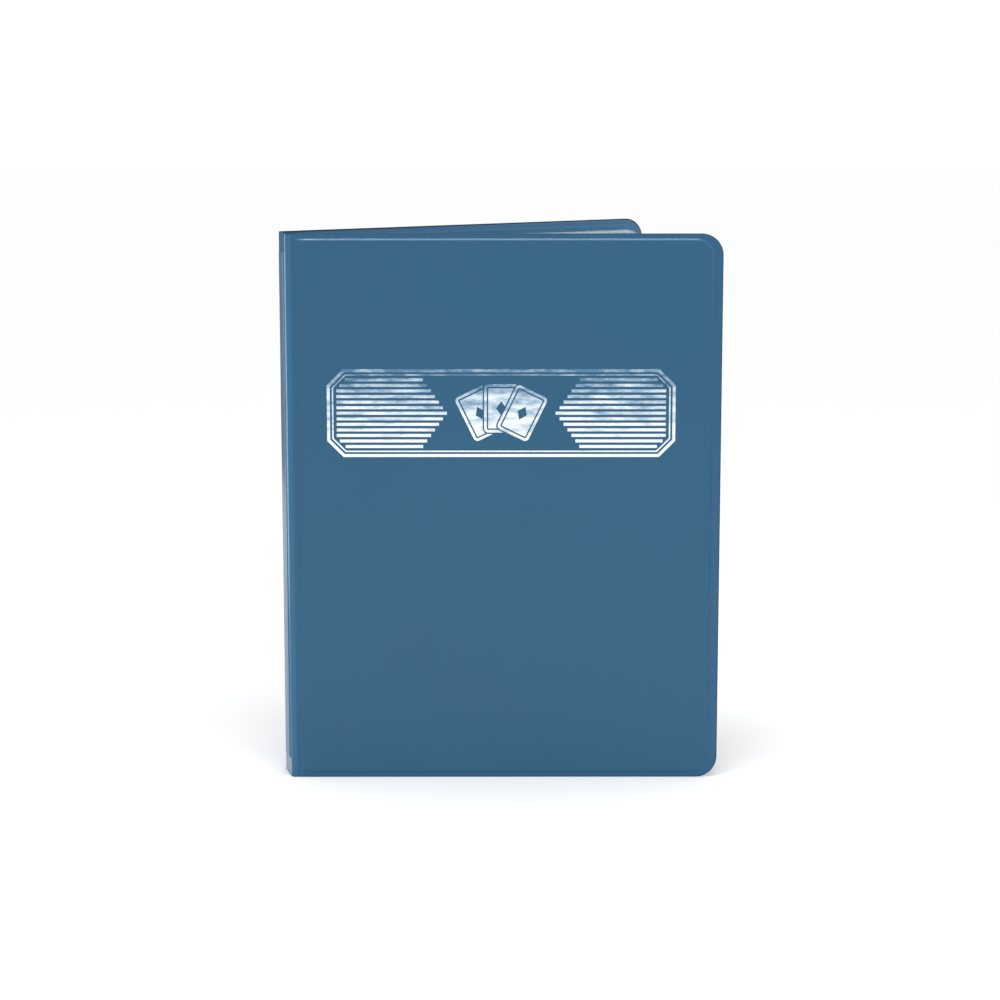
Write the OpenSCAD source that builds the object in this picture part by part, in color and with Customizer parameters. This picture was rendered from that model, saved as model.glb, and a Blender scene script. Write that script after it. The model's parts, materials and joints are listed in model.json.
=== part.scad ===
// Card album: two vinyl-covered board covers and a spine joined by welded vinyl folds,
// with clear pocket pages bound to a strip inside the spine.
// It stands on its bottom edges, +Z up, with the front cover facing -Y and the album part open.
// The origin is at the middle of the footprint, on the surface that it stands on.

/* [Covers] */
// Width of a cover, from its fold to its fore edge
cover_w = 240; // [180:1:300]
// Height of the covers and the spine
cover_h = 307; // [240:1:380]
// Radius of a cover's outer corners
corner_r = 12; // [6:0.5:20]
// Thickness of the boards inside the covers
board_t = 2; // [1:0.1:3]
// Thickness of one ply of vinyl
vinyl_t = 0.4; // [0.3:0.05:0.8]
// Width of the welded margin along the top and bottom edges
edge_weld = 3.2; // [2:0.1:8]
// Width of the welded margin along the fore edge
fore_weld = 5.5; // [3:0.1:10]
// Gap between a board's edges and the vinyl around it
board_play = 0.3; // [0.1:0.1:1]

/* [Spine and folds] */
// Distance between the two fold lines
spine_w = 19; // [17:0.5:40]
// Thickness of the board inside the spine
spine_board_t = 1.2; // [1:0.1:3]
// Width of the welded margin along the spine's long sides
spine_side_weld = 3; // [2:0.1:4]
// Height of the flat welded zone at each end of the spine
spine_end_weld = 10; // [5:0.5:25]
// Width of the flat fold strip, from the spine's fold line to the cover's fold line
fold_w = 5; // [4:0.1:10]
// Gap between parts that turn past each other at a fold line
fold_gap = 0.35; // [0.3:0.05:0.5]
// Angle between the two covers as the album stands
open_angle = 30; // [10:1:60]

/* [Pages] */
// Gap between a page's top or bottom edge and the cover's edge
page_inset = 6; // [5:0.5:15]
// Gap between a page's fore edge and the cover's fore edge
page_fore_inset = 10.5; // [2:0.5:14]
// Radius of a page's outer corners
page_corner_r = 4; // [2:0.5:9]
// Distance between neighbouring pages when the album is shut
page_pitch = 1.4; // [1.3:0.05:1.5]
// How much further out each page is bound than its outer neighbour
page_step = 0.95; // [0.7:0.05:1.5]
// Thickness of the clear page film
film_t = 0.15; // [0.1:0.01:0.2]
// Radius of the welded bead along a page's bound edge
bead_r = 0.25; // [0.2:0.01:0.3]
// Share of its cover's turn by which each page lags behind its outer neighbour
page_lag = 0.02; // [0.02:0.005:0.06]

/* [Pockets] */
// Width of a trading card
card_w = 63.5; // [50:0.5:75]
// Height of a trading card
card_h = 88.9; // [70:0.1:110]
// Room that a pocket leaves beside and above its card
card_play = 2.5; // [1:0.1:5]
// Depth of an empty pocket
pocket_depth = 0.3; // [0.1:0.05:0.4]
// Width of the weld between two pockets
pocket_weld = 2; // [1:0.1:4]
// Distance from the pockets to the page's fore edge
pocket_fore_margin = 3; // [2:0.5:8]

/* [Binding] */
// Thickness of the strip that the pages are bound to
binding_t = 1.2; // [0.8:0.1:2]
// Gap between the binding strip's long sides and the fold lines
binding_inset = 2; // [1.5:0.1:2.5]
// Thickness of a page's stub
stub_t = 0.5; // [0.3:0.05:0.6]
// Height of the shortest stub above the binding strip
stub_h = 1; // [0.8:0.1:3]

/* [Foil] */
// Height of the stamped foil block
foil_h = 49; // [40:1:60]
// Distance from the cover's top edge to the foil block
foil_drop = 74.5; // [40:0.5:110]
// Distance from the panel's fold side to the foil block
foil_fold_margin = 16; // [10:0.5:30]
// Distance from the panel's fore side to the foil block
foil_fore_margin = 20; // [10:0.5:30]
// Thickness of the foil
foil_t = 0.08; // [0.05:0.01:0.15]
// Width of the heavy foil lines
foil_line = 1.7; // [1:0.1:2]
// Width of the fine foil lines
foil_hairline = 0.8; // [0.5:0.1:1]
// Distance between the foil stripes
foil_pitch = 3.1; // [2.5:0.1:4.5]
// Cut across the foil frame's corners
foil_chamfer = 9; // [4:0.5:12]
// Width of a card in the foil fan
fan_card_w = 19; // [14:0.5:20]
// Height of a card in the foil fan
fan_card_h = 27; // [20:0.5:28]
// Turn from one card of the foil fan to the next
fan_turn = 26; // [22:1:28]

/* [Hidden] */
$fn = 64;
per_side = 5;
page_total = 2 * per_side;
PAGES = [for (i = [1 : page_total]) str("page_", i < 10 ? "0" : "", i)];
COVER_NODES = [
    "front_outer_skin", "front_board", "front_lining", "front_fold_strip", "front_foil_stamp",
    "back_outer_skin", "back_board", "back_lining", "back_fold_strip",
    "spine_outer_skin", "spine_board", "spine_lining", "binding_strip", "page_stubs"
];

half_open = open_angle / 2;
half_board = board_t / 2;
half_t = half_board + vinyl_t;
spine_half_board = spine_board_t / 2;
spine_half_t = spine_half_board + vinyl_t;
eps = 0.01;

// What lies next to a fold line stops this far from it
fold_clear = vinyl_t + fold_gap;

// The raised panel over a cover's board: where it starts, its size and its corners
panel_x = fold_w + fold_clear;
panel_w = cover_w - panel_x - fore_weld;
panel_h = cover_h - 2 * edge_weld;
panel_r = max(corner_r - edge_weld, 1);

// The spine's flat flange between the fold lines, and its raised panel
flange_w = spine_w - 2 * fold_clear;
spine_panel_w = spine_w - 2 * spine_side_weld;
spine_panel_h = cover_h - 2 * spine_end_weld;
spine_panel_r = 1.5;

// Where the pages turn, measured from the spine's middle plane and from the front fold
binding_w = spine_w - 2 * binding_inset;
binding_face = spine_half_t + binding_t;
stub_gap = bead_r + fold_gap;
page_depth_0 = binding_face + stub_h + stub_gap;
page_side_0 = (spine_w - (page_total - 1) * page_pitch) / 2;
page_h = cover_h - 2 * page_inset;

function rank(i) = i <= per_side ? i : page_total + 1 - i;
function page_depth(i) = page_depth_0 + (rank(i) - 1) * page_step;
function page_side(i) = page_side_0 + (i - 1) * page_pitch;
function page_share(i) = 1 - page_lag * rank(i);
function page_angle(i) = half_open + (i <= per_side ? -1 : 1) * page_share(i) * half_open;
function page_w(i) = cover_w - page_fore_inset - page_depth(i);

// As many pockets as the page has room for
pocket_w = card_w + card_play;
pocket_h = card_h + card_play;
column_pitch = pocket_w + pocket_weld;
row_h = pocket_h + pocket_weld;
pocket_columns = floor((page_w(per_side) - pocket_fore_margin - pocket_weld) / column_pitch);
pocket_rows = floor(page_h / row_h);
row_w = pocket_columns * column_pitch + pocket_weld;
row_space = (page_h - pocket_rows * row_h) / (pocket_rows + 1);

// The foil block
foil_w = panel_w - foil_fold_margin - foil_fore_margin;
foil_ring_gap = 1.1;
fan_low = 13;
fan_high = fan_low + fan_card_h;
fan_mid = fan_low + fan_card_h / 2;
fan_side = fan_card_w / 2;
fan_top = fan_high * cos(fan_turn) + fan_side * sin(fan_turn);
fan_foot = fan_low * cos(fan_turn) - fan_side * sin(fan_turn);
fan_reach = fan_high * sin(fan_turn) + fan_side * cos(fan_turn);
fan_corner_r = 2.4;
fan_border = 1.5;
pip_w = 5.6;
pip_h = 8;
stripe_gap = 4;
stripe_slant = 2.2;
stripe_count = 2 * floor((foil_h / 2 - 3 * foil_line) / foil_pitch) + 1;

// The footprint's box, with the front fold line at zero
spine_panel_reach = (spine_w - spine_side_weld) * sin(half_open) + spine_half_t * cos(half_open);
back_fold_reach = spine_w * sin(half_open) + vinyl_t;
shift_low_x = -max(spine_panel_reach, back_fold_reach);
shift_high_y = spine_w * cos(half_open) + cover_w * sin(open_angle) + vinyl_t * cos(open_angle);
centre_x = (shift_low_x + cover_w) / 2;
centre_y = (shift_high_y - half_t - foil_t) / 2;

// Places: x runs along the piece from its fold, y up, z towards the front cover's outside
module at_front() {
    translate([-centre_x, -centre_y, 0]) rotate([90, 0, 0]) children();
}

module at_spine() {
    translate([-centre_x, -centre_y, 0]) rotate([0, 0, 90 + half_open]) rotate([90, 0, 0]) children();
}

module at_back() {
    back_x = -spine_w * sin(half_open);
    back_y = spine_w * cos(half_open);
    translate([back_x - centre_x, back_y - centre_y, 0])
        rotate([0, 0, open_angle]) rotate([90, 0, 0]) children();
}

module at_page(i) {
    x = page_depth(i) * cos(half_open) - page_side(i) * sin(half_open);
    y = page_depth(i) * sin(half_open) + page_side(i) * cos(half_open);
    translate([x - centre_x, y - centre_y, 0])
        rotate([0, 0, page_angle(i)]) rotate([90, 0, 0]) children();
}

module flip() {
    mirror([0, 0, 1]) children();
}

// A rectangle whose right-hand corners are round
module tab(w, h, r) {
    square([w - r, h]);
    translate([0, r]) square([w, h - 2 * r]);
    translate([w - r, r]) circle(r);
    translate([w - r, h - r]) circle(r);
}

// A rectangle whose four corners are round
module slab(w, h, r) {
    translate([r, 0]) square([w - 2 * r, h]);
    translate([0, r]) square([w, h - 2 * r]);
    for (x = [r, w - r], y = [r, h - r]) translate([x, y]) circle(r);
}

// One ply over a cover's board: a flat margin, and a tray that holds half of the board
module cover_skin() {
    difference() {
        union() {
            translate([panel_x, 0, 0]) linear_extrude(vinyl_t) tab(cover_w - panel_x, cover_h, corner_r);
            translate([panel_x, edge_weld, 0]) linear_extrude(half_t) tab(panel_w, panel_h, panel_r);
        }
        translate([panel_x + vinyl_t, edge_weld + vinyl_t, -eps]) linear_extrude(half_board + eps)
            tab(panel_w - 2 * vinyl_t, panel_h - 2 * vinyl_t, panel_r - vinyl_t);
    }
}

module cover_board() {
    inset = vinyl_t + board_play;
    translate([panel_x + inset, edge_weld + inset, -half_board]) linear_extrude(board_t)
        tab(panel_w - 2 * inset, panel_h - 2 * inset, panel_r - vinyl_t);
}

// Both plies welded together, with a round edge on each fold line
module fold_strip() {
    translate([0, 0, -vinyl_t]) cube([fold_w, cover_h, 2 * vinyl_t]);
    for (x = [0, fold_w]) translate([x, 0, 0]) rotate([-90, 0, 0]) cylinder(h = cover_h, r = vinyl_t);
}

module spine_skin() {
    difference() {
        union() {
            translate([fold_clear, 0, 0]) cube([flange_w, cover_h, vinyl_t]);
            translate([spine_side_weld, spine_end_weld, 0]) linear_extrude(spine_half_t)
                slab(spine_panel_w, spine_panel_h, spine_panel_r);
        }
        translate([spine_side_weld + vinyl_t, spine_end_weld + vinyl_t, -eps])
            linear_extrude(spine_half_board + eps)
                slab(spine_panel_w - 2 * vinyl_t, spine_panel_h - 2 * vinyl_t, spine_panel_r - vinyl_t);
    }
}

module front_outer_skin() {
    color("#3d6a8c") at_front() cover_skin();
}

module front_board() {
    color("#9c9488") at_front() cover_board();
}

module front_lining() {
    color("#3a6587") at_front() flip() cover_skin();
}

module front_fold_strip() {
    color("#3f708f") at_front() fold_strip();
}

module back_outer_skin() {
    color("#3d6a8c") at_back() flip() cover_skin();
}

module back_board() {
    color("#9c9488") at_back() cover_board();
}

module back_lining() {
    color("#3a6587") at_back() cover_skin();
}

module back_fold_strip() {
    color("#3f708f") at_back() fold_strip();
}

module spine_outer_skin() {
    color("#3d6a8c") at_spine() flip() spine_skin();
}

module spine_board() {
    inset = vinyl_t + board_play;
    color("#9c9488") at_spine()
        translate([spine_side_weld + inset, spine_end_weld + inset, -spine_half_board])
            linear_extrude(spine_board_t)
                slab(spine_panel_w - 2 * inset, spine_panel_h - 2 * inset, spine_panel_r - vinyl_t);
}

module spine_lining() {
    color("#3a6587") at_spine() spine_skin();
}

module binding_strip() {
    color("#35597a") at_spine()
        translate([binding_inset, page_inset, spine_half_t]) cube([binding_w, page_h, binding_t]);
}

module page_stubs() {
    color("#c9d6dc") at_spine() for (i = [1 : page_total])
        translate([page_side(i) - stub_t / 2, page_inset, binding_face])
            cube([stub_t, page_h, page_depth(i) - stub_gap - binding_face]);
}

// A page's backing film, with the welded bead that it turns on
module page_sheet(i) {
    color("#dfe9ee") at_page(i) {
        translate([0, page_inset, -film_t / 2]) linear_extrude(film_t) tab(page_w(i), page_h, page_corner_r);
        translate([0, page_inset, 0]) rotate([-90, 0, 0]) cylinder(h = page_h, r = bead_r);
    }
}

// A page's rows of card pockets, each open along its top
module page_pockets(i) {
    row_x = page_w(i) - pocket_fore_margin - row_w;
    color("#eaf2f6") at_page(i) for (row = [0 : pocket_rows - 1])
        translate([row_x, page_inset + row_space + row * (row_h + row_space), film_t / 2]) {
            translate([0, 0, pocket_depth]) cube([row_w, row_h, film_t]);
            cube([row_w, pocket_weld, pocket_depth + eps]);
            for (column = [0 : pocket_columns])
                translate([column * column_pitch, 0, 0]) cube([pocket_weld, row_h, pocket_depth + eps]);
        }
}

// A long plate with cut corners, drawn d inside the foil block's outline
module plate(d) {
    x = foil_w / 2 - d;
    y = foil_h / 2 - d;
    c = foil_chamfer - d * (2 - sqrt(2));
    lower = [[-x, c - y], [c - x, -y], [x - c, -y], [x, c - y]];
    polygon(concat(lower, [[x, y - c], [x - c, y], [c - x, y], [-x, y - c]]));
}

module plate_ring(d, line) {
    difference() {
        plate(d);
        plate(d + line);
    }
}

module fan_card(k, d) {
    w = fan_card_w - 2 * d;
    rotate(-k * fan_turn) translate([-w / 2, fan_low + d])
        slab(w, fan_card_h - 2 * d, max(fan_corner_r - d, 0.5));
}

module pip() {
    polygon([[0, -pip_h / 2], [pip_w / 2, 0], [0, pip_h / 2], [-pip_w / 2, 0]]);
}

// Three blank cards fanned out, each with a thin border line and a diamond left bare
module card_fan() {
    translate([0, -(fan_top + fan_foot) / 2]) for (k = [-1 : 1]) difference() {
        fan_card(k, 0);
        difference() {
            fan_card(k, fan_border);
            fan_card(k, fan_border + foil_hairline);
        }
        rotate(-k * fan_turn) translate([0, fan_mid]) pip();
        if (k < 1) fan_card(k + 1, -foil_hairline);
    }
}

// Stripes on one side of the fan, with their inner ends cut to a point
module side_stripes() {
    last = floor(stripe_count / 2);
    outer = foil_w / 2 - 2 * foil_line - foil_ring_gap - foil_hairline;
    for (k = [-last : last]) {
        inner = fan_reach + stripe_gap + stripe_slant * abs(k);
        cut = max(0, abs(k) * foil_pitch + foil_line - foil_h / 2 + foil_chamfer);
        translate([inner, k * foil_pitch - foil_line / 2]) square([outer - cut - inner, foil_line]);
    }
}

module front_foil_stamp() {
    color("#cfdbe4") at_front()
        translate([panel_x + foil_fold_margin + foil_w / 2, cover_h - foil_drop - foil_h / 2, half_t])
            linear_extrude(foil_t) {
                plate_ring(0, foil_line);
                plate_ring(foil_line + foil_ring_gap, foil_hairline);
                card_fan();
                side_stripes();
                mirror([1, 0]) side_stripes();
            }
}

front_outer_skin();
front_board();
front_lining();
front_fold_strip();
front_foil_stamp();
back_outer_skin();
back_board();
back_lining();
back_fold_strip();
spine_outer_skin();
spine_board();
spine_lining();
binding_strip();
page_stubs();
for (i = [1 : page_total]) {
    page_sheet(i);
    page_pockets(i);
}
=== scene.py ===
# %% [markdown]
# # A trading card album in welded vinyl
#
# The real object is one long sheet of vinyl film, laid over three boards and welded to a second sheet
# behind them. Where only film joins film it bends, and that makes the folds. Clear pages of card
# pockets are bound to a strip inside the spine.
#
# The mechanical model already says where every board, fold line and page is. This lesson gives each of
# those pieces the surface that it has in the hand: drawn vinyl with soft shoulders, stamped foil and
# wavy clear film.

# %% Load the frame
import json
import math

import bmesh
import bpy
import numpy as np
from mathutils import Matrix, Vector, noise

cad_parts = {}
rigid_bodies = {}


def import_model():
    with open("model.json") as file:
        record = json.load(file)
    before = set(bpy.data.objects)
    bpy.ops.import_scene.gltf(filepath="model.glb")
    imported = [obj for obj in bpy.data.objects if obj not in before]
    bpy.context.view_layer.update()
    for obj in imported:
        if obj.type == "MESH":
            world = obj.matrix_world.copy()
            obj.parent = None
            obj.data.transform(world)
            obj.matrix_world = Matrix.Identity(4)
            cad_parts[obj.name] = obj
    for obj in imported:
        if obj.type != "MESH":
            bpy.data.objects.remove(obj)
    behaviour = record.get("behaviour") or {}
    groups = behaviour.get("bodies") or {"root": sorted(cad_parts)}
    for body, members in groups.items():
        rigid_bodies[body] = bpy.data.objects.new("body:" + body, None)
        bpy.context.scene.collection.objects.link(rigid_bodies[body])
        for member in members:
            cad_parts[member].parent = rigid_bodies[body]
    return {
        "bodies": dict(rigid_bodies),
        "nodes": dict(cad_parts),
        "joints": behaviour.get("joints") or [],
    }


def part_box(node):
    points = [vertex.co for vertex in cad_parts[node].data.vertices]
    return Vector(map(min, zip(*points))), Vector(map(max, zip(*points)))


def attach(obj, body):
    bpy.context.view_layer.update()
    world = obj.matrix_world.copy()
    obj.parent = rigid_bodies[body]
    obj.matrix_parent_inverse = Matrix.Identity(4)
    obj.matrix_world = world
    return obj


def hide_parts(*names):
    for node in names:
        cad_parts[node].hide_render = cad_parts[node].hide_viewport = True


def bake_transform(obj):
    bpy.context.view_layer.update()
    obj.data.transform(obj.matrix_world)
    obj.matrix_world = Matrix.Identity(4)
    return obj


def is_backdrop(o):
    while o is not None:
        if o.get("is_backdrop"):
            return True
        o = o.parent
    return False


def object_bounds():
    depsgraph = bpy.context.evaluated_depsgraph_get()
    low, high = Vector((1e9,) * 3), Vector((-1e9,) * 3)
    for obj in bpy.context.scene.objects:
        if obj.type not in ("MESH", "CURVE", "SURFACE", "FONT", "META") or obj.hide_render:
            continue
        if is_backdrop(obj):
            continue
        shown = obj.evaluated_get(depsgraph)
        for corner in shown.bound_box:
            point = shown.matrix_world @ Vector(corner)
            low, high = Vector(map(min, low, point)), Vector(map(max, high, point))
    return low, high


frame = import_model()
cad_low, cad_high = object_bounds()
MM = 0.001

# %% [markdown]
# ## Where the folds are
#
# Every fold of the album is a joint of the frame, and every joint states its axis. So the fold lines,
# the directions of the covers and the spine, and the width of a cover are all read from the frame.
# None of these is placed by eye.

# %% Read the fold lines and directions
axis = {joint["name"]: Vector(joint["pos_m"]) for joint in frame["joints"]}
spine_vector = axis["back_fold_hinge"] - axis["front_fold_hinge"]
spine_along = spine_vector.normalized()
spine_inward = Vector((spine_along.y, -spine_along.x, 0))
SPINE_W = spine_vector.length
FOLD_W = (axis["front_cover_hinge"] - axis["front_fold_hinge"]).length
COVER_H = cad_high.z
COVER_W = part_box("front_outer_skin")[1].x - axis["front_fold_hinge"].x
HALF_T = axis["front_fold_hinge"].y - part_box("front_outer_skin")[0].y
PLY_T = (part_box("front_fold_strip")[1].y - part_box("front_fold_strip")[0].y) / 2
print("cover", round(COVER_W / MM, 1), "by", round(COVER_H / MM, 1), "spine", round(SPINE_W / MM, 1), "mm")


def reach(node, start, direction):
    """The nearest and the farthest that a CAD node goes from a point along a direction."""
    along = [(vertex.co - start).dot(direction) for vertex in frame["nodes"][node].data.vertices]
    return min(along), max(along)


# %% [markdown]
# ## The camera
#
# The album is seen from the front, from a little above, by a long lens some way off, so that its
# upright edges stay nearly parallel. The front cover is square to the camera.

# %% Set the camera
CAMERA_DISTANCE = 1.427
CAMERA_SIDE = 0.115
CAMERA_HEIGHT = 0.4025
CAMERA_LENS = 93.62
CAMERA_PITCH = 9.681
CAMERA_YAW = 0.098

scene = bpy.context.scene
camera_data = bpy.data.cameras.new("camera")
camera_data.lens = CAMERA_LENS
camera_data.sensor_width = 36
camera = bpy.data.objects.new("camera", camera_data)
camera.location = axis["front_fold_hinge"] + Vector((CAMERA_SIDE, -CAMERA_DISTANCE, 0))
camera.location.z = CAMERA_HEIGHT
camera.rotation_euler = (math.radians(90 - CAMERA_PITCH), 0, math.radians(-CAMERA_YAW))
scene.collection.objects.link(camera)
scene.camera = camera
print("camera at", [round(x, 3) for x in camera.location])

# %% [markdown]
# ## Helpers for materials
#
# Each material starts from the real one. A shader is a small network of nodes, so one helper adds a
# node, sets its values and links its inputs. The patterns are placed by a UV map that is written in
# metres, so a pattern's scale comes straight from a size in millimetres.

# %% Colours and shader nodes


def hex_colour(code):
    """An sRGB hex colour as linear red, green, blue and alpha."""
    parts = [int(code[i:i + 2], 16) / 255 for i in (1, 3, 5)]
    return [((p + 0.055) / 1.055) ** 2.4 if p > 0.04045 else p / 12.92 for p in parts] + [1.0]


def add(tree, kind, inputs=None, **settings):
    """Adds a node. An input given as a socket is linked, and any other input is set."""
    made = tree.nodes.new(kind)
    for name, value in settings.items():
        setattr(made, name, value)
    for name, value in (inputs or {}).items():
        if isinstance(value, bpy.types.NodeSocket):
            tree.links.new(value, made.inputs[name])
        else:
            made.inputs[name].default_value = value
    return made


def new_material(name, coordinates="UV"):
    """An empty material, its node tree, its main shader and its coordinates in metres."""
    material = bpy.data.materials.new(name)
    material.use_nodes = True
    tree = material.node_tree
    shader = tree.nodes["Principled BSDF"]
    return material, tree, shader, tree.nodes.new("ShaderNodeTexCoord").outputs[coordinates]


def per_metre(size_mm):
    """The noise scale whose features are about this many millimetres wide."""
    return 1 / (size_mm * MM)


# %% [markdown]
# ## The floor and the light
#
# A product picture on white is lit from all sides. A white world gives that even light, and a white
# paper floor sends it back up. The world alone would leave the vinyl's soft edges invisible, because
# they would mirror the same white everywhere. So long bright strip lamps are added, and each draws a
# thin line of light where a shoulder turns its way. They are bright and narrow, and they would burn out
# the floor, so light linking keeps them off it. The album shades the paper at its own foot. A fourth
# lamp points straight down and reaches only the floor, and it brings that paper back to white.

# %% Make the floor
FLOOR_REACH = 8.0
floor_mesh = bpy.data.meshes.new("floor")
floor_corners = [(-FLOOR_REACH, -FLOOR_REACH, 0), (FLOOR_REACH, -FLOOR_REACH, 0),
                 (FLOOR_REACH, FLOOR_REACH, 0), (-FLOOR_REACH, FLOOR_REACH, 0)]
floor_mesh.from_pydata(floor_corners, [], [(0, 1, 2, 3)])
floor = bpy.data.objects.new("floor", floor_mesh)
scene.collection.objects.link(floor)
paper, tree, shader, place = new_material("white_paper_sweep", "Object")
fibres = add(tree, "ShaderNodeTexNoise", {"Vector": place, "Scale": per_metre(1.2), "Detail": 2.0})
tooth = add(tree, "ShaderNodeBump", {"Height": fibres.outputs["Fac"], "Strength": 0.2, "Distance": 0.05 * MM})
tree.links.new(tooth.outputs["Normal"], shader.inputs["Normal"])
shader.inputs["Base Color"].default_value = hex_colour("#f9f9f9")
shader.inputs["Roughness"].default_value = 0.95
shader.inputs["Specular IOR Level"].default_value = 0.1
floor_mesh.materials.append(paper)
floor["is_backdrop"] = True

# %% Light the stage
WORLD_STRENGTH = 1.04
SWEEP_LIGHT = 4.5

scene.view_settings.view_transform = "Standard"
world = bpy.data.worlds.new("white_studio")
world.use_nodes = True
world.node_tree.nodes["Background"].inputs["Color"].default_value = hex_colour("#ffffff")
world.node_tree.nodes["Background"].inputs["Strength"].default_value = WORLD_STRENGTH
scene.world = world

off_the_floor = bpy.data.collections.new("lit_by_lamps")
off_the_floor.objects.link(floor)
off_the_floor.collection_objects[0].light_linking.link_state = "EXCLUDE"


def strip_lamp(name, place, width, height, brightness):
    """A flat lamp that faces the album and leaves out the floor. Its size doesn't change its brightness."""
    lamp = bpy.data.lights.new(name, "AREA")
    lamp.shape = "RECTANGLE"
    lamp.size = width
    lamp.size_y = height
    lamp.energy = brightness * math.pi * width * height
    made = bpy.data.objects.new(name, lamp)
    made.location = place
    aim = Vector((0, 0, COVER_H / 2)) - made.location
    made.rotation_euler = aim.to_track_quat("-Z", "Y").to_euler()
    made.light_linking.receiver_collection = off_the_floor
    scene.collection.objects.link(made)
    return made


strip_lamp("lamp_above", Vector((0, -0.2, 1.35)), width=0.75, height=0.3, brightness=12)
strip_lamp("lamp_left", Vector((-0.5, 0.18, 0.16)), width=0.32, height=0.3, brightness=3)
strip_lamp("lamp_right", Vector((1.5, -0.5, 0.5)), width=0.4, height=0.8, brightness=3)

sweep_lamp = strip_lamp("lamp_over_the_sweep", Vector((0, -0.45, 0.9)), width=0.5, height=0.5,
                        brightness=SWEEP_LIGHT)
sweep_lamp.rotation_euler = (0, 0, 0)
only_the_floor = bpy.data.collections.new("lit_from_overhead")
only_the_floor.objects.link(floor)
sweep_lamp.light_linking.receiver_collection = only_the_floor

# %% [markdown]
# ### A flag for the spine
#
# The spine is seen almost edge on, so it mirrors whatever stands behind it. With white all round it
# would turn white. A grey velvet flag hangs behind it, hidden from the camera and without a shadow. It
# hangs clear of the floor, so the spine's upper part mirrors the flag and its foot mirrors the paper.

# %% Hang the flag
FLAG_LEFT, FLAG_RIGHT = (-0.50, 0.36), (-0.02, 0.60)
FLAG_LOW, FLAG_HIGH = 0.08, 0.70

flag_mesh = bpy.data.meshes.new("grey_flag")
flag_corners = [(*FLAG_LEFT, FLAG_LOW), (*FLAG_RIGHT, FLAG_LOW), (*FLAG_RIGHT, FLAG_HIGH),
                (*FLAG_LEFT, FLAG_HIGH)]
flag_mesh.from_pydata(flag_corners, [], [(0, 1, 2, 3)])
flag = bpy.data.objects.new("grey_flag", flag_mesh)
scene.collection.objects.link(flag)
flag.visible_camera = False
flag.visible_diffuse = False
flag.visible_shadow = False
velvet, tree, shader, place = new_material("grey_velvet", "Object")
nap = add(tree, "ShaderNodeTexNoise", {"Vector": place, "Scale": per_metre(2), "Detail": 2.0})
worn = add(tree, "ShaderNodeMix", {0: nap.outputs["Fac"], 6: hex_colour("#5a5c60"), 7: hex_colour("#66686c")},
           data_type="RGBA")
tree.links.new(worn.outputs[2], shader.inputs["Base Color"])
shader.inputs["Roughness"].default_value = 1.0
shader.inputs["Specular IOR Level"].default_value = 0.0
flag_mesh.materials.append(velvet)
flag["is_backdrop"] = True

# %% [markdown]
# ## Materials
#
# ### Calendered PVC vinyl
#
# The cover film is plasticised PVC, rolled to about 0.4 mm and welded with heat. It is slightly glossy,
# with an IOR near 1.5 and a roughness of about 0.3. Rolling leaves a fine even grain, which breaks up
# the reflection. The real grain is about 0.3 mm wide, and it is drawn at 0.7 mm so that it shows. Film
# laid on board also has a faint long unevenness, which is what makes a flat cover look soft.

# %% Vinyl


def vinyl_material(name, colour, shade, roughness, grain, gloss=0.5):
    """Coloured PVC film: a colour that drifts a little, a fine rolled grain and a long soft unevenness."""
    material, tree, shader, flat = new_material(name)
    drift = add(tree, "ShaderNodeTexNoise", {"Vector": flat, "Scale": per_metre(60), "Detail": 2.0})
    mixed = add(tree, "ShaderNodeMix", {0: drift.outputs["Fac"], 6: hex_colour(colour), 7: hex_colour(shade)},
                data_type="RGBA")
    fine = add(tree, "ShaderNodeTexNoise", {"Vector": flat, "Scale": per_metre(0.7), "Detail": 3.0})
    coarse = add(tree, "ShaderNodeTexNoise", {"Vector": flat, "Scale": per_metre(9), "Detail": 2.0})
    long_bump = add(tree, "ShaderNodeBump", {"Height": coarse.outputs["Fac"], "Strength": 0.5,
                                             "Distance": 0.15 * MM})
    fine_bump = add(tree, "ShaderNodeBump", {"Height": fine.outputs["Fac"], "Strength": grain,
                                             "Distance": 0.05 * MM, "Normal": long_bump.outputs["Normal"]})
    tree.links.new(mixed.outputs[2], shader.inputs["Base Color"])
    tree.links.new(fine_bump.outputs["Normal"], shader.inputs["Normal"])
    shader.inputs["Roughness"].default_value = roughness
    shader.inputs["Specular IOR Level"].default_value = gloss
    shader.inputs["IOR"].default_value = 1.46
    return material


vinyl = vinyl_material("calendered_pvc_vinyl", "#135172", "#155475", 0.28, 0.5)
# The lining is painted lighter than the cover film, as painted light for the shade between the covers.
lining_vinyl_painted_light = vinyl_material("matt_pvc_lining_painted_light", "#1a5b7e", "#1c5e81", 0.45, 0.7)
print("made", vinyl.name, "and", lining_vinyl_painted_light.name)

# %% [markdown]
# ### Pressed and cut vinyl
#
# The welding bar presses the film smooth, so a weld is glossier than the grained film beside it. The
# film of a fold is painted a little paler, as painted light for the stronger light that a fold catches.
# The same tool cuts the film along its outer edge, and there the film is coloured in a thin dark band
# that is duller than the film. On the lining the weld and the cut band are painted darker than on the
# outer film, as painted shade where they face up towards the lamp above.

# %% Weld and edge
pressed_vinyl = vinyl_material("heat_pressed_pvc", "#165277", "#185579", 0.2, 0.2)
# The lining's weld is painted darker, as painted shade against the light it takes from the lamp above.
pressed_lining_painted_shade = vinyl_material("heat_pressed_pvc_lining_painted_shade", "#124e72", "#145175", 0.3, 0.3)
# The fold's film is painted paler than the cover, as painted light for the stronger light that a fold
# catches.
fold_vinyl_painted_light = vinyl_material("folded_pvc_painted_light", "#1b5f84", "#1c6287", 0.24, 0.2)
cut_vinyl = vinyl_material("heat_cut_pvc_edge", "#103c56", "#12405a", 0.35, 0.1)
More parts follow.
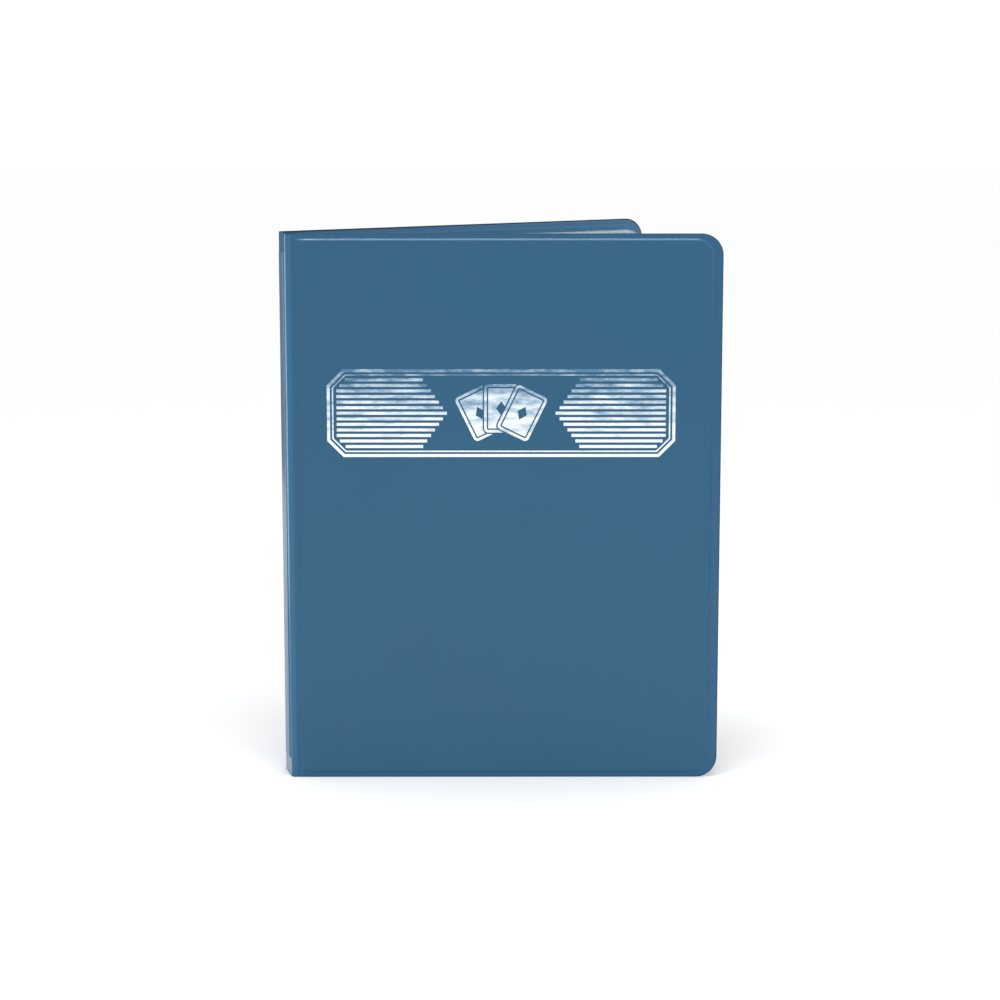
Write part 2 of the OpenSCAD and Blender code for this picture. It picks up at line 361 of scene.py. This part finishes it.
# The lining's cut edge is painted darker, as painted shade where it faces up to the lamp above; it is also
# duller.
cut_lining_painted_shade = vinyl_material("heat_cut_pvc_lining_edge_painted_shade", "#0a2838", "#0d2e40", 0.6, 0.1, 0.15)

# %% [markdown]
# ### Grey chipboard
#
# The boards are pressed waste paper, about 2 mm thick. Their face is dull and flecked with fibres a
# millimetre or two long. They are sealed inside the vinyl, but they are finished all the same.

# %% Chipboard


def chipboard_material():
    """Pressed grey board: stretched flecks of fibre over a dull ground."""
    material, tree, shader, place = new_material("grey_chipboard", "Object")
    flecks = add(tree, "ShaderNodeTexNoise", {"Vector": place, "Scale": per_metre(1.5), "Detail": 4.0})
    mixed = add(tree, "ShaderNodeMix", {0: flecks.outputs["Fac"], 6: hex_colour("#8b8378"),
                                        7: hex_colour("#a9a297")}, data_type="RGBA")
    bump = add(tree, "ShaderNodeBump", {"Height": flecks.outputs["Fac"], "Strength": 0.6,
                                        "Distance": 0.1 * MM})
    tree.links.new(mixed.outputs[2], shader.inputs["Base Color"])
    tree.links.new(bump.outputs["Normal"], shader.inputs["Normal"])
    shader.inputs["Roughness"].default_value = 0.95
    return material


chipboard = chipboard_material()

# %% [markdown]
# ### Clear polypropylene film
#
# A pocket page is cast polypropylene, clear but slightly milky, because its crystals scatter a little
# light. One film is nearly invisible, and several pages on top of each other turn whitish. A low alpha
# with a pale colour gives that build-up cheaply. Film seen along itself is denser, so the alpha rises
# with the slant. The welds are pressed rough by the heated bar, so they are whiter than the film.
#
# A sight line through the pages crosses four faces on each. The limit on see-through faces is raised to
# suit, because a line that reaches the limit turns black.

# %% Polypropylene
SEE_THROUGH_FACES = 64
scene.cycles.transparent_max_bounces = SEE_THROUGH_FACES


def film_material(name, colour, alpha, edge_alpha, roughness, press_mm):
    """Clear film: see-through when faced squarely, denser seen along itself, with a faint rolled texture."""
    material, tree, shader, flat = new_material(name)
    texture = add(tree, "ShaderNodeTexNoise", {"Vector": flat, "Scale": per_metre(press_mm), "Detail": 2.0})
    bump = add(tree, "ShaderNodeBump", {"Height": texture.outputs["Fac"], "Strength": 0.4,
                                        "Distance": 0.1 * MM})
    tree.links.new(bump.outputs["Normal"], shader.inputs["Normal"])
    slant = add(tree, "ShaderNodeLayerWeight", {"Blend": 0.1})
    density = add(tree, "ShaderNodeMapRange", {"Value": slant.outputs["Facing"], "To Min": alpha,
                                               "To Max": edge_alpha})
    tree.links.new(density.outputs["Result"], shader.inputs["Alpha"])
    shader.inputs["Base Color"].default_value = hex_colour(colour)
    shader.inputs["Roughness"].default_value = roughness
    shader.inputs["IOR"].default_value = 1.49
    return material


page_film = film_material("clear_polypropylene_film", "#dde9ee", 0.018, 0.25, 0.12, 14)
border_film = film_material("pressed_polypropylene_border", "#dde9ee", 0.06, 0.4, 0.3, 3)
weld_film = film_material("welded_polypropylene", "#e6eff3", 0.15, 0.6, 0.45, 0.9)
binding_plastic = vinyl_material("moulded_polypropylene_strip", "#2f5674", "#325a78", 0.45, 0.4)

# %% [markdown]
# ### Hot-stamped foil
#
# The silver on the cover is a layer of aluminium a few hundredths of a micron thick, pressed onto the
# vinyl by a hot brass die. It takes on the grain of the film below, so it is a soft mirror: fully
# metallic, with a roughness near 0.2 and small creases that catch the light unevenly. Its colour holds a
# painted reflection: nearly white along its foot, where it would mirror the bright floor, and duller and
# bluer towards the top, with random patches of the duller tone.

# %% Foil
FOIL_FOOT, FOIL_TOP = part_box("front_foil_stamp")[0].z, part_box("front_foil_stamp")[1].z


def foil_material():
    """Stamped metal foil: a soft mirror over a grained film, with a painted reflection that is white at its
    foot and duller towards its top.
    """
    material, tree, shader, place = new_material("hot_stamped_foil", "Object")
    creases = add(tree, "ShaderNodeTexNoise", {"Vector": place, "Scale": per_metre(3), "Detail": 5.0,
                                               "Roughness": 0.65})
    stretched = add(tree, "ShaderNodeMapping", {"Vector": place, "Scale": (0.3, 0.3, 1.0)})
    patches = add(tree, "ShaderNodeTexNoise", {"Vector": stretched.outputs["Vector"], "Scale": per_metre(4.5),
                                               "Detail": 4.0, "Roughness": 0.65})
    crease_bump = add(tree, "ShaderNodeBump", {"Height": creases.outputs["Fac"], "Strength": 0.9,
                                               "Distance": 0.6 * MM})
    height = add(tree, "ShaderNodeSeparateXYZ", {"Vector": place})
    # Painted reflection: the base colour runs from nearly white at the foil's foot, where it would mirror the
    # bright floor, to duller towards its top.
    pressed = add(tree, "ShaderNodeMapRange", {"Value": height.outputs["Z"], "From Min": FOIL_FOOT,
                                               "From Max": FOIL_TOP, "To Min": 0.28, "To Max": -0.22})
    reflection_and_patches = add(tree, "ShaderNodeMath", {0: patches.outputs["Fac"], 1: pressed.outputs["Result"]},
               operation="ADD")
    tones = add(tree, "ShaderNodeValToRGB", {"Fac": reflection_and_patches.outputs["Value"]})
    dull, bright = tones.color_ramp.elements
    dull.position, dull.color = 0.25, hex_colour("#5f83a3")
    bright.position, bright.color = 0.62, hex_colour("#eef4f7")
    middle = tones.color_ramp.elements.new(0.45)
    middle.color = hex_colour("#b4cadb")
    tree.links.new(tones.outputs["Color"], shader.inputs["Base Color"])
    tree.links.new(crease_bump.outputs["Normal"], shader.inputs["Normal"])
    shader.inputs["Metallic"].default_value = 1.0
    shader.inputs["Roughness"].default_value = 0.22
    return material


foil = foil_material()

# %% [markdown]
# ## Film as a grid that is bent afterwards
#
# Each sheet of film is made flat, as a grid of distance along the film by height. Its two faces are
# height fields over that grid, so a shoulder, a weld or a wave is only a formula. A last step bends the
# flat grid round the fold. The grid lines crowd together where the surface turns sharply, and are far
# apart on the flat.

# %% Grid lines and the closed sheet


def lines(*stretches):
    """Grid positions from stretches of (start, end, spacing), each in metres."""
    found = []
    for start, end, spacing in stretches:
        count = max(1, round((end - start) / spacing))
        found.extend(np.linspace(start, end, count + 1))
    found = np.array(sorted(found))
    return found[np.concatenate(([True], np.diff(found) > 0.02 * MM))]


def arc_lines(radius, steps=30):
    """Grid positions that cut a quarter circle into equal angles."""
    return radius * (1 - np.cos(np.linspace(0, math.pi / 2, steps + 1)))


def closed_sheet(name, along, height, top, bottom, place, materials, pick=None):
    """A closed mesh between two surfaces over a grid. place turns (along, height, out) into points."""
    rows, columns = along.shape
    upper = place(along, height, top)
    lower = place(along, height, bottom)
    points = np.concatenate((upper.reshape(-1, 3), lower.reshape(-1, 3)))
    count = rows * columns
    index = np.arange(count).reshape(rows, columns)
    quads = np.stack((index[:-1, :-1], index[:-1, 1:], index[1:, 1:], index[1:, :-1]), -1).reshape(-1, 4)
    rim = np.concatenate((index[0, :], index[1:, -1], index[-1, -2::-1], index[-2:0:-1, 0]))
    after = np.roll(rim, -1)
    walls = np.stack((rim, after, after + count, rim + count), -1)
    faces = np.concatenate((quads, quads[:, ::-1] + count, walls))
    mesh = bpy.data.meshes.new(name)
    mesh.from_pydata(points.tolist(), [], faces.tolist())
    flat = np.stack((along.ravel(), height.ravel()), -1)
    flat = np.concatenate((flat, flat))
    layer = mesh.uv_layers.new(name="metres")
    corner = np.zeros(len(mesh.loops), int)
    mesh.loops.foreach_get("vertex_index", corner)
    layer.data.foreach_set("uv", flat[corner].ravel())
    for material in materials:
        mesh.materials.append(material)
    if pick is not None:
        chosen = pick((flat[faces][:, :, 0]).mean(1), (flat[faces][:, :, 1]).mean(1))
        mesh.polygons.foreach_set("material_index", chosen.astype(int))
    mesh.validate()
    made = bpy.data.objects.new(name, mesh)
    scene.collection.objects.link(made)
    turn_outward(mesh)
    mesh.shade_smooth()
    mesh.set_sharp_from_angle(angle=math.radians(50))
    return made


def turn_outward(mesh):
    """Makes every face of a closed mesh look out of it."""
    work = bmesh.new()
    work.from_mesh(mesh)
    bmesh.ops.recalc_face_normals(work, faces=work.faces)
    work.to_mesh(mesh)
    work.free()


# %% [markdown]
# ## The path round a fold
#
# Seen from above, the film comes along the spine, turns a tight corner at the fold line and goes on
# along the cover. The corner is an arc of 1.5 millimetres. Distances before the fold line are
# negative, and those after it are positive.

# %% Bend a flat sheet round a fold line
BEND_R = 1.5 * MM


def fold_path(fold, into_spine, into_cover, side):
    """Places (distance, height, out of the film) round one fold. side is 1 where outside is on the left."""
    heading_in = math.atan2(-into_spine.y, -into_spine.x)
    heading_out = math.atan2(into_cover.y, into_cover.x)
    turn = (heading_out - heading_in + math.pi) % (2 * math.pi) - math.pi
    hand = math.copysign(1, turn)
    tangent = BEND_R * math.tan(abs(turn) / 2)
    start = np.array(fold.xy) + np.array(into_spine.xy) * tangent
    centre = start + hand * BEND_R * np.array((-math.sin(heading_in), math.cos(heading_in)))

    def place(along, height, out):
        heading = heading_in + turn * np.clip((along + tangent) / (2 * tangent), 0, 1)
        left = np.stack((-np.sin(heading), np.cos(heading)), -1)
        ahead = np.stack((np.cos(heading), np.sin(heading)), -1)
        beyond = np.where(along > tangent, along - tangent, np.minimum(along + tangent, 0))
        flat = centre - hand * BEND_R * left + ahead * beyond[..., None] + side * left * out[..., None]
        return np.concatenate((flat, height[..., None]), -1)

    return place


sides = {}
for word, side, into_spine in (("front", -1, spine_along), ("back", 1, -spine_along)):
    fold = axis[f"{word}_fold_hinge"]
    into_cover = (axis[f"{word}_cover_hinge"] - fold).normalized()
    sides[word] = {"fold": fold, "crease": axis[f"{word}_cover_hinge"], "into_spine": into_spine,
                   "into_cover": into_cover, "place": fold_path(fold, into_spine, into_cover, side)}
    print(word, "cover points to", [round(x, 3) for x in into_cover])

# %% [markdown]
# ## The vinyl over a cover
#
# The film lies flat at the weld, climbs over the board's edge in a soft shoulder and runs flat across
# the board. The distance from the panel's outline gives the height of the surface at every point. The
# fore corners are round, so the grid's outer columns are pressed together there until the last one lies
# on the arc. The weld and the cut edge are faces of the same film, so they are only given another
# material. The lining is drawn less tight, so its shoulder is wider and lies further out.

# %% Shapes of the panel
CORNER_R = 12 * MM
EDGE_WELD = 3.2 * MM
FORE_WELD = 5.5 * MM
FOLD_CLEAR = 0.75 * MM
PANEL_START = FOLD_W + FOLD_CLEAR
PANEL_CORNER_R = CORNER_R - EDGE_WELD
FOLD_SIDE_R = 1.0 * MM
SHOULDER = 0.6 * MM
SOFT_SHOULDER = 1.6 * MM
LINING_SLACK = 0.8 * MM
FOLD_SHOULDER = 1.2 * MM
CUT_EDGE = 0.6 * MM
LIP_DROP, LIP_REACH = 0.2 * MM, 0.35 * MM
SWELL_DEPTH = 0.05 * MM
SWELLS_PER_METRE = 22
PUFF_START, PUFF_END = 1.0 * MM, FOLD_W - 0.4 * MM
PUFF_H = 0.22 * MM


def smooth(share):
    """A ramp from 0 to 1 that starts and ends level."""
    share = np.clip(share, 0, 1)
    return share * share * (3 - 2 * share)


def inside(x, z, low, high, near_r, far_r):
    """How far (x, z) lies inside a rectangle whose near and far corners have their own radius."""
    centre = ((low[0] + high[0]) / 2, (low[1] + high[1]) / 2)
    r = np.where(x < centre[0], near_r, far_r)
    qx = np.abs(x - centre[0]) - (high[0] - low[0]) / 2 + r
    qz = np.abs(z - centre[1]) - (high[1] - low[1]) / 2 + r
    outside = np.hypot(np.maximum(qx, 0), np.maximum(qz, 0))
    return r - outside - np.minimum(np.maximum(qx, qz), 0)


def unevenness(x, z, seed):
    """A slow random swell between 0 and 1, the same on every run."""
    values = [noise.noise(Vector((a * SWELLS_PER_METRE, b * SWELLS_PER_METRE, seed)))
              for a, b in zip(x.ravel(), z.ravel())]
    return np.clip(0.5 + np.array(values).reshape(x.shape), 0, 1)


def puff(x, z):
    """How far the film between a fold's two weld lines stands proud. It is welded flat at its ends."""
    across = np.clip((x - PUFF_START) / (PUFF_END - PUFF_START), 0, 1)
    ends = smooth((np.minimum(z, COVER_H - z) - EDGE_WELD) / (1.5 * MM))
    return PUFF_H * np.sin(math.pi * across) ** 2 * ends


def drawn_film(depth, edge, x, z, seed, shoulder, outward):
    """Height of a ply's outer face: a flat weld, a shoulder of its own softness, then a faint swell."""
    beside_fold = smooth(1 - (x - PANEL_START) / (5 * MM))
    half = shoulder + (FOLD_SHOULDER - shoulder) * beside_fold
    rise = smooth((depth + outward * (1 - beside_fold) + half) / (2 * half))
    swell = SWELL_DEPTH * unevenness(x, z, seed) * smooth((depth - 1 * MM) / (6 * MM))
    lip = LIP_DROP * smooth(1 - edge / LIP_REACH)
    return PLY_T + (HALF_T - PLY_T) * rise + puff(x, z) - swell - lip


def under_film(top):
    """The face of a ply that lies on the board, or on the other ply at the weld."""
    return np.maximum(top - PLY_T, 0)


# %% Make the cover plies


def cover_grid(start):
    """Grid of distance by height over a cover, with its outer edge on the rounded outline."""
    fore = COVER_W - CORNER_R - 3 * MM
    along = lines((start, PANEL_START + FOLD_SHOULDER, 0.16 * MM),
                  (PANEL_START + FOLD_SHOULDER, fore, 7 * MM),
                  (fore, COVER_W - FORE_WELD - SHOULDER, 0.6 * MM),
                  (COVER_W - FORE_WELD - SHOULDER, COVER_W - FORE_WELD + SHOULDER, 0.15 * MM),
                  (COVER_W - FORE_WELD + SHOULDER, COVER_W - CUT_EDGE, 0.5 * MM),
                  (COVER_W - CUT_EDGE, COVER_W, 0.1 * MM))
    shoulder = np.arange(EDGE_WELD - SHOULDER, EDGE_WELD + SHOULDER, 0.15 * MM)
    corner = np.concatenate((arc_lines(CORNER_R), shoulder))
    middle = lines((CORNER_R, COVER_H - CORNER_R, 7 * MM))
    height = np.unique(np.round(np.concatenate((corner, middle, COVER_H - corner)), 6))
    x, z = np.meshgrid(along, height)
    nearest = np.minimum(z, COVER_H - z)
    drop = np.maximum(CORNER_R - nearest, 0)
    limit = COVER_W - CORNER_R + np.sqrt(np.maximum(CORNER_R ** 2 - drop ** 2, 0))
    x = np.where(x > fore, fore + (x - fore) * (limit - fore) / (COVER_W - fore), x)
    return x, z


MID_FOLD = FOLD_W / 2
cover_x, cover_z = cover_grid(MID_FOLD)


def inside_panel(x, z):
    """How far (x, z) lies inside the raised panel of a cover."""
    return inside(x, z, (PANEL_START, EDGE_WELD), (COVER_W - FORE_WELD, COVER_H - EDGE_WELD), FOLD_SIDE_R,
                  PANEL_CORNER_R)


def inside_edge(x, z):
    """How far (x, z) lies inside the cut edge of a cover's film."""
    return inside(x, z, (-COVER_W, 0), (COVER_W, COVER_H), CORNER_R, CORNER_R)


def film_finish(x, z):
    """The finish of a face: 0 for the film over the board, 1 for the weld and 2 for the cut edge."""
    return np.where(inside_edge(x, z) < CUT_EDGE, 2, np.where(inside_panel(x, z) < 0, 1, 0))


panel_depth = inside_panel(cover_x, cover_z)
film_edge = inside_edge(cover_x, cover_z)


def cover_ply(name, word, out, seed, material, node):
    """One ply over a cover's board. out is 1 for the outer ply and -1 for the lining, which is looser."""
    side = sides[word]
    shoulder, outward = (SHOULDER, 0) if out > 0 else (SOFT_SHOULDER, LINING_SLACK)
    weld, cut = (pressed_vinyl, cut_vinyl) if out > 0 else (pressed_lining_painted_shade, cut_lining_painted_shade)
    top = drawn_film(panel_depth, film_edge, cover_x, cover_z, seed, shoulder, outward)
    made = closed_sheet(name, cover_x, cover_z, out * top, out * under_film(top), side["place"],
                        [material, weld, cut], film_finish)
    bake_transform(made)
    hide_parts(node)
    print(name, len(made.data.vertices), "points")


for word, seed in (("front", 3.1), ("back", 7.7)):
    cover_ply(f"{word}_cover_vinyl", word, 1, seed, vinyl, f"{word}_outer_skin")
    cover_ply(f"{word}_cover_lining", word, -1, seed + 1, lining_vinyl_painted_light, f"{word}_lining")

# %% [markdown]
# ## The folds and the spine
#
# A fold is both plies together, welded along two lines and at its ends. Between the lines the film
# stands a little proud, which draws a soft band down the fold. It is made as one sheet from the spine's
# margin to the middle of the fold, where the cover's two plies take over. The spine's film is drawn over
# a narrow board in the same way as on the covers, and its outer ply stands a little higher along the
# middle.

# %% Make the folds
SPINE_SIDE_WELD = 3 * MM
SPINE_END_WELD = 10 * MM
SPINE_SHOULDER = 0.6 * MM
SPINE_SEAM = SPINE_SIDE_WELD - SPINE_SHOULDER
END_LIP_DROP, END_LIP_REACH = 0.14 * MM, 0.3 * MM


def end_lip(z):
    """How far the film draws back at the top and foot of a fold and of the spine."""
    return END_LIP_DROP * smooth(1 - np.minimum(z, COVER_H - z) / END_LIP_REACH)


def fold_finish(x, z):
    """0 for the film of a fold and 1 for its cut ends."""
    return np.where(np.minimum(z, COVER_H - z) < CUT_EDGE, 1, 0)


for word in ("front", "back"):
    side = sides[word]
    along = lines((-SPINE_SEAM, MID_FOLD, 0.12 * MM))
    height = lines((0, 0.6 * MM, 0.1 * MM), (0.6 * MM, EDGE_WELD, 0.8 * MM),
                   (EDGE_WELD, EDGE_WELD + 2 * MM, 0.2 * MM))
    middle = lines((EDGE_WELD + 2 * MM, COVER_H - EDGE_WELD - 2 * MM, 6 * MM))
    height = np.unique(np.round(np.concatenate((height, middle, COVER_H - height)), 7))
    x, z = np.meshgrid(along, height)
    face = PLY_T + puff(x, z) - end_lip(z)
    made = closed_sheet(f"{word}_fold_vinyl_painted_light", x, z, face, -face, side["place"], [fold_vinyl_painted_light, cut_vinyl],
                        fold_finish)
    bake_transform(made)
    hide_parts(f"{word}_fold_strip")
    print(made.name, len(made.data.vertices), "points")

# %% Make the spine


def spine_place(along, height, out):
    """Places (distance from the front fold line, height, out of the spine)."""
    start = np.array(axis["front_fold_hinge"].xy)
    flat = start + along[..., None] * np.array(spine_along.xy) - out[..., None] * np.array(spine_inward.xy)
    return np.concatenate((flat, height[..., None]), -1)


along = lines((SPINE_SEAM, SPINE_SEAM + 3.2 * MM, 0.12 * MM), (SPINE_SEAM + 3.2 * MM, SPINE_W / 2, 0.6 * MM))
along = np.unique(np.round(np.concatenate((along, SPINE_W - along)), 7))
ends = lines((0, 0.6 * MM, 0.1 * MM), (0.6 * MM, SPINE_END_WELD - 1 * MM, 1 * MM),
             (SPINE_END_WELD - 1 * MM, SPINE_END_WELD + 2 * MM, 0.15 * MM))
middle = lines((SPINE_END_WELD + 2 * MM, COVER_H - SPINE_END_WELD - 2 * MM, 6 * MM))
height = np.unique(np.round(np.concatenate((ends, middle, COVER_H - ends)), 7))
x, z = np.meshgrid(along, height)
depth = inside(x, z, (SPINE_SIDE_WELD, SPINE_END_WELD), (SPINE_W - SPINE_SIDE_WELD, COVER_H - SPINE_END_WELD),
               1.5 * MM, 1.5 * MM)
SPINE_HALF_T = reach("spine_outer_skin", axis["front_fold_hinge"], -spine_inward)[1]
SPINE_CROWN = 0.15 * MM
SPINE_SWELL_DEPTH = 0.06 * MM


def spine_finish(x, z):
    """0 for the film over the spine's board, 1 for the weld and 2 for the cut ends."""
    end = np.minimum(z, COVER_H - z)
    side = np.minimum(x, SPINE_W - x)
    return np.where(end < CUT_EDGE, 2, np.where((end < SPINE_END_WELD) | (side < SPINE_SIDE_WELD), 1, 0))


rise = smooth((depth + SPINE_SHOULDER) / (2 * SPINE_SHOULDER))
for name, out, material, node, slot, seed in (
        ("spine_vinyl", 1, vinyl, "spine_outer_skin", "vinyl_cover", 11.3),
        ("spine_lining_vinyl", -1, lining_vinyl_painted_light, "spine_lining", "vinyl_lining", 12.9)):
    swell = SPINE_SWELL_DEPTH * unevenness(x, z * 3, seed) * rise
    crown = max(out, 0) * SPINE_CROWN * (1 - ((x - SPINE_W / 2) / (SPINE_W / 2 - SPINE_SIDE_WELD)) ** 2)
    top = PLY_T + (SPINE_HALF_T + crown - PLY_T) * rise - swell - end_lip(z)
    made = closed_sheet(name, x, z, out * top, out * under_film(top), spine_place,
                        [material, pressed_vinyl, cut_vinyl], spine_finish)
    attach(made, "spine")
    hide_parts(node)
    print(name, len(made.data.vertices), "points")

# %% [markdown]
# ## The pages
#
# A page is one backing film with three rows of pockets welded to its face. It rises from the binding
# strip as a stub and turns at the stub's end. Real film is never quite flat, so all pages share a slow
# wave. They share it because they lie against each other, and a wave of its own would push a page
# through its neighbour when the album is shut.

# %% Measure the pages
PAGE_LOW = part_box("page_01_sheet")[0].z
PAGE_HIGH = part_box("page_01_sheet")[1].z
BINDING_FACE = reach("binding_strip", axis["front_fold_hinge"], spine_inward)[1]
FILM_T = 0.15 * MM
POCKET_DEPTH = 0.3 * MM
POCKET_WELD = 2 * MM
POCKET_EASE = 1.5 * MM
POCKET_GAP = 0.02 * MM
PAGE_CORNER_R = 4 * MM
PAGE_BORDER = 1.5 * MM
PAGES = sorted(name for name in frame["bodies"] if name.startswith("page_"))


def page_direction(name):
    """The direction in which a page leaves its hinge, and its width."""
    pivot = axis[f"{name}_hinge"]
    offsets = [(v.co - pivot).to_2d() for v in frame["nodes"][f"{name}_sheet"].data.vertices]
    width = max(offset.length for offset in offsets)
    far = [offset for offset in offsets if offset.length > width - 1 * MM]
    mean = sum(far, Vector((0, 0))) / len(far)
    return Vector((mean.x, mean.y, 0)).normalized(), mean.length


def page_grid(along, height, width):
    """Grid of distance by height over a page, with its fore corners pressed onto the rounded outline."""
    x, z = np.meshgrid(along, height)
    drop = np.maximum(PAGE_CORNER_R - np.minimum(z - PAGE_LOW, PAGE_HIGH - z), 0)
    limit = width - PAGE_CORNER_R + np.sqrt(np.maximum(PAGE_CORNER_R ** 2 - drop ** 2, 0))
    straight = width - PAGE_CORNER_R - 2 * MM
    x = np.where(x > straight, straight + (x - straight) * (limit - straight) / (width - straight), x)
    return x, z


def page_border(x, z, width):
    """1 within the frosted border of a page and 0 inside it."""
    edge = inside(x, z, (-width, PAGE_LOW), (width, PAGE_HIGH), PAGE_CORNER_R, PAGE_CORNER_R)
    return np.where(edge < PAGE_BORDER, 1, 0)


def page_wave(x, z):
    """The slow wave that all pages share, growing from nothing at the bound edge."""
    share = smooth(x / 0.12)
    return share * (0.35 * MM * np.sin(x * 31 + z * 9) + 0.25 * MM * np.sin(z * 24 - x * 12 + 1.3))


print(len(PAGES), "pages from", round(PAGE_LOW / MM, 1), "to", round(PAGE_HIGH / MM, 1), "mm")

# %% Make the films and the pockets


def page_place(name):
    """Places (distance, height, towards the front cover) on a page and its stub."""
    pivot = axis[f"{name}_hinge"]
    direction, _ = page_direction(name)
    turn = math.atan2(direction.y, direction.x) - math.atan2(spine_inward.y, spine_inward.x)
    base = math.atan2(spine_inward.y, spine_inward.x)
    bend = 2.0 * MM

    def place(along, height, out):
        share = smooth((along + bend / 2) / bend)
        heading = base + turn * np.where(along > bend / 2, 1, share)
        ahead = np.stack((np.cos(heading), np.sin(heading)), -1)
        right = np.stack((ahead[..., 1], -ahead[..., 0]), -1)
        flat = np.array(pivot.xy) + ahead * along[..., None] + right * out[..., None]
        return np.concatenate((flat, height[..., None]), -1)

    return place


CARD_COLUMNS = 3
CARD_ROWS = 3
pocket_low, pocket_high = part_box("page_01_pockets")[0].z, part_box("page_01_pockets")[1].z
row_space = pocket_low - PAGE_LOW
row_h = (pocket_high - pocket_low - (CARD_ROWS - 1) * row_space) / CARD_ROWS

for name in PAGES:
    place = page_place(name)
    direction, width = page_direction(name)
    pivot = axis[f"{name}_hinge"]
    stub = (pivot - axis["front_fold_hinge"]).dot(spine_inward) - BINDING_FACE
    along = lines((-stub, 3 * MM, 0.3 * MM), (3 * MM, width - PAGE_CORNER_R - 2 * MM, 8 * MM),
                  (width - PAGE_CORNER_R - 2 * MM, width - PAGE_BORDER, 1.7 * MM),
                  (width - PAGE_BORDER, width, 0.5 * MM))
    corner = arc_lines(PAGE_CORNER_R, 10)
    middle = lines((PAGE_LOW + PAGE_CORNER_R, PAGE_HIGH - PAGE_CORNER_R, 8 * MM))
    corner = np.append(corner, PAGE_BORDER)
    height = np.unique(np.round(np.concatenate((PAGE_LOW + corner, middle, PAGE_HIGH - corner)), 6))
    x, z = page_grid(along, height, width)
    wave = page_wave(x, z)
    sheet = closed_sheet(f"{name}_film", x, z, wave + FILM_T / 2, wave - FILM_T / 2, place,
                         [page_film, border_film],
                         lambda a, b, width=width: page_border(a, b, width))
    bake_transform(sheet)
    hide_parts(f"{name}_sheet", "page_stubs")

    near, far = reach(f"{name}_pockets", pivot, direction)
    pitch = (far - near - POCKET_WELD) / CARD_COLUMNS
    for row in range(CARD_ROWS):
        low = pocket_low + row * (row_h + row_space)
        steps = [(near + k * pitch + a, near + k * pitch + b, s) for k in range(CARD_COLUMNS)
                 for a, b, s in ((0, POCKET_WELD, 1 * MM), (POCKET_WELD, POCKET_WELD + POCKET_EASE, 0.5 * MM),
                                 (POCKET_WELD + POCKET_EASE, pitch - POCKET_EASE, 8 * MM),
                                 (pitch - POCKET_EASE, pitch, 0.5 * MM))]
        along = lines(*steps, (far - POCKET_WELD, far, 1 * MM))
        height = lines((low, low + POCKET_WELD, 1 * MM),
                       (low + POCKET_WELD, low + POCKET_WELD + POCKET_EASE, 0.5 * MM),
                       (low + POCKET_WELD + POCKET_EASE, low + row_h, 8 * MM))
        x, z = np.meshgrid(along, height)
        from_weld = np.minimum((x - near) % pitch - POCKET_WELD, pitch - (x - near) % pitch)
        from_weld = np.minimum(from_weld, z - low - POCKET_WELD)
        open_depth = POCKET_DEPTH * smooth(from_weld / POCKET_EASE)
        base = page_wave(x, z) + FILM_T / 2 + POCKET_GAP + open_depth

        def is_weld(a, b, near=near, pitch=pitch, low=low):
            return ((a - near) % pitch < POCKET_WELD) | (b < low + POCKET_WELD)

        pocket = closed_sheet(f"{name}_pockets_{row + 1}", x, z, base + FILM_T, base, place,
                              [page_film, weld_film], is_weld)
        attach(pocket, name)
        if row == 0:
            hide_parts(f"{name}_pockets")
print("pages done")

# %% [markdown]
# ## The pieces that keep their own shape
#
# The boards, the binding strip and the stamped foil are right as the frame gives them, so they only
# need their materials.

# %% Give the carried-over pieces their materials
for node, material in (("front_board", chipboard), ("back_board", chipboard), ("spine_board", chipboard),
                       ("binding_strip", binding_plastic), ("front_foil_stamp", foil)):
    mesh = frame["nodes"][node].data
    mesh.materials.clear()
    mesh.materials.append(material)

# %% Measure the size of the finished model
low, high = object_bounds()
